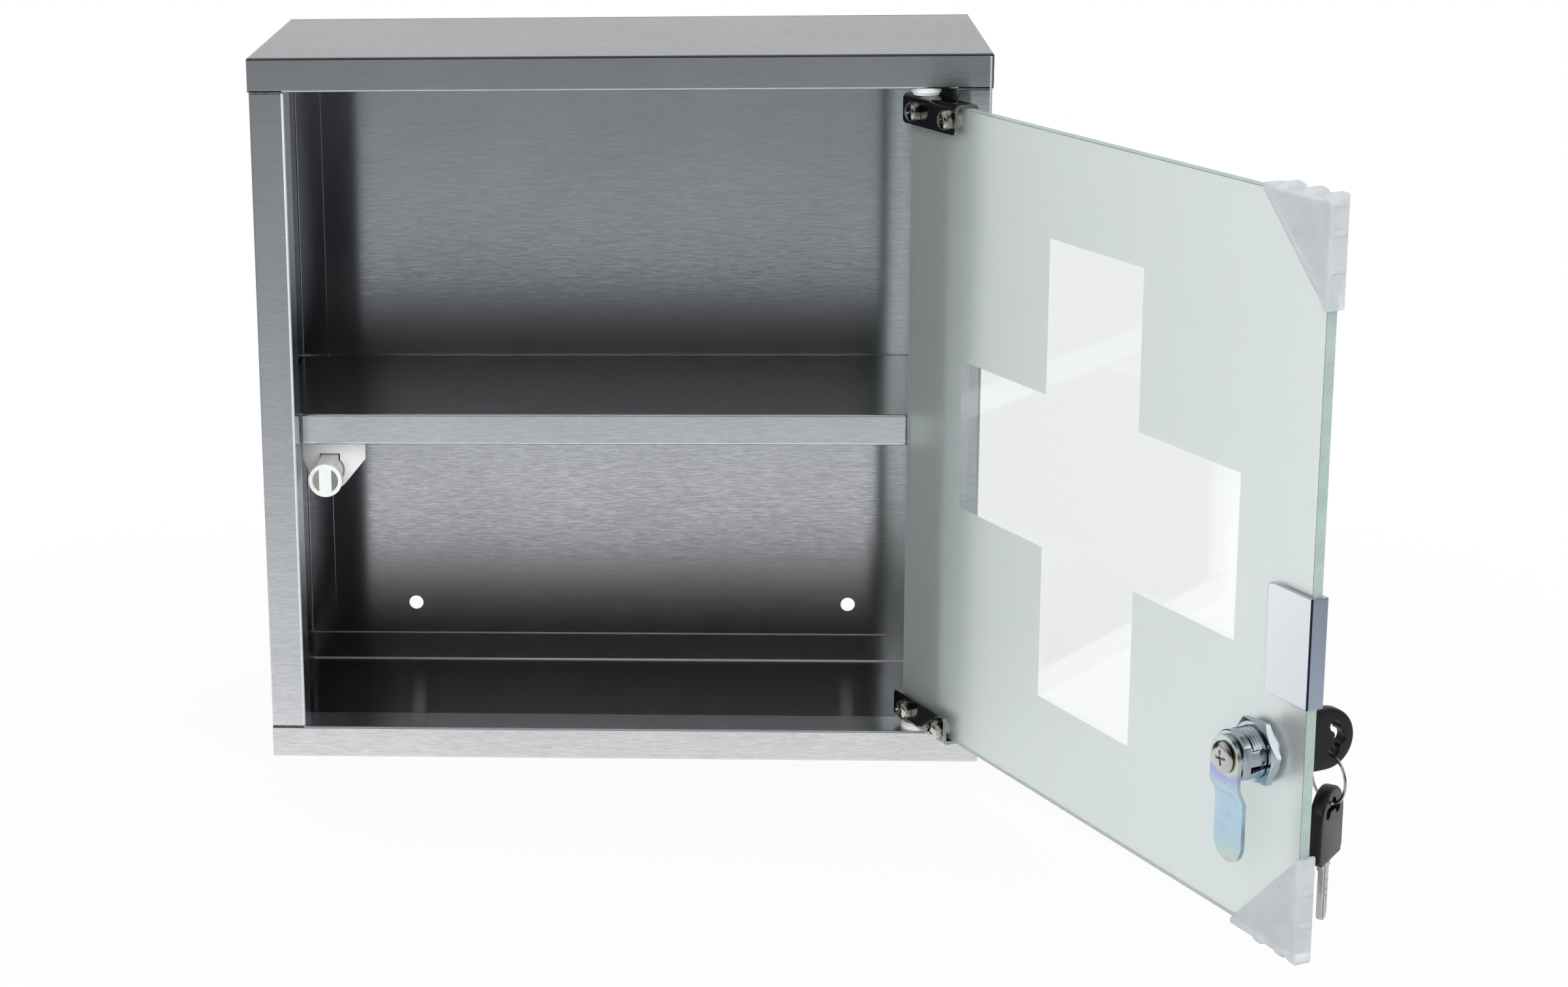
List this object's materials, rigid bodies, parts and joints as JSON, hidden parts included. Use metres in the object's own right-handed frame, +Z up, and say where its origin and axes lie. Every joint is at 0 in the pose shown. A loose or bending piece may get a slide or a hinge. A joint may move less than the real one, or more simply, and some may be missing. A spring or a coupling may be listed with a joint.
{
  "type": "glass door medical cabinet",
  "caption": "Wall-hung brushed steel medicine cabinet with a shelf, a frosted glass door on clamp hinges, a cam lock with keys and a magnetic push latch.",
  "frame": {"origin": "middle of the four wall holes, on the outer face of the back", "axes": "+X to the right seen from the front, +Y out of the back into the wall, +Z up; stored with the door open 117 degrees, as pictured"},
  "size_m": [0.4133, 0.3497, 0.3],
  "materials": {
    "brushed_steel": "brushed",
    "white_nylon": "satin",
    "pole_steel": "matt",
    "frosted_glass": "frosted",
    "dark_chrome": "polished",
    "pad_rubber": "matt",
    "bright_chrome": "polished",
    "clear_silicone": "satin",
    "black_rubber": "matt",
    "zinc_plate": "iridescent plating",
    "plug_zinc": "satin",
    "key_plastic": "satin",
    "key_metal": "satin"
  },
  "bodies": {
    "cabinet": {"top_cap": "brushed_steel", "bottom_pan": "brushed_steel", "left_side": "brushed_steel", "right_side": "brushed_steel", "back_panel": "brushed_steel", "shelf": "brushed_steel", "upper_bushing": "white_nylon", "lower_bushing": "white_nylon", "latch_housing": "white_nylon"},
    "latch": {"latch_plunger": "white_nylon", "latch_poles": "pole_steel", "latch_magnet": "pole_steel"},
    "door": {"glass_door": "frosted_glass", "upper_hinge_clamp": "dark_chrome", "lower_hinge_clamp": "dark_chrome", "upper_hinge_pin": "dark_chrome", "lower_hinge_pin": "dark_chrome", "upper_clamp_pad": "pad_rubber", "lower_clamp_pad": "pad_rubber", "clamp_screws": "bright_chrome", "pressure_pads": "pad_rubber", "pull_clip": "bright_chrome", "top_corner_guard": "clear_silicone", "bottom_corner_guard": "clear_silicone", "lock_body": "bright_chrome", "lock_nut": "bright_chrome", "lock_gasket": "black_rubber"},
    "lock_core": {"lock_plug": "plug_zinc", "stop_washer": "zinc_plate", "cam": "zinc_plate", "cam_washer": "plug_zinc", "cam_screw": "bright_chrome", "key_head": "key_plastic", "key_blade": "key_metal"},
    "ring": {"key_ring": "bright_chrome"},
    "spare_key": {"spare_key_head": "key_plastic", "spare_key_blade": "key_metal"}
  },
  "joints": [
    {"name": "door_hinge", "type": "hinge", "parent": "cabinet", "child": "door", "pos_m": [0.12375, -0.1185, 0], "axis": [0, 0, 1], "range_deg": [-117, 8]},
    {"name": "lock_turn", "type": "hinge", "parent": "door", "child": "lock_core", "pos_m": [0.22939, -0.32584, -0.0651], "axis": [-0.891, -0.454, 0], "range_deg": [0, 90]},
    {"name": "key_ring_swing", "type": "hinge", "parent": "lock_core", "child": "ring", "pos_m": [0.2547, -0.31294, -0.07111], "axis": [0.454, -0.891, 0], "range_deg": [-15, 15]},
    {"name": "spare_key_swing", "type": "hinge", "parent": "ring", "child": "spare_key", "pos_m": [0.2547, -0.31294, -0.08041], "axis": [-0.891, -0.454, 0], "range_deg": [-90, 90]},
    {"name": "latch_push", "type": "slide", "parent": "cabinet", "child": "latch", "axis": [0, 1, 0], "range_m": [0, 0.0065], "stiffness_N_per_m": 150, "springref_m": -0.004}
  ]
}
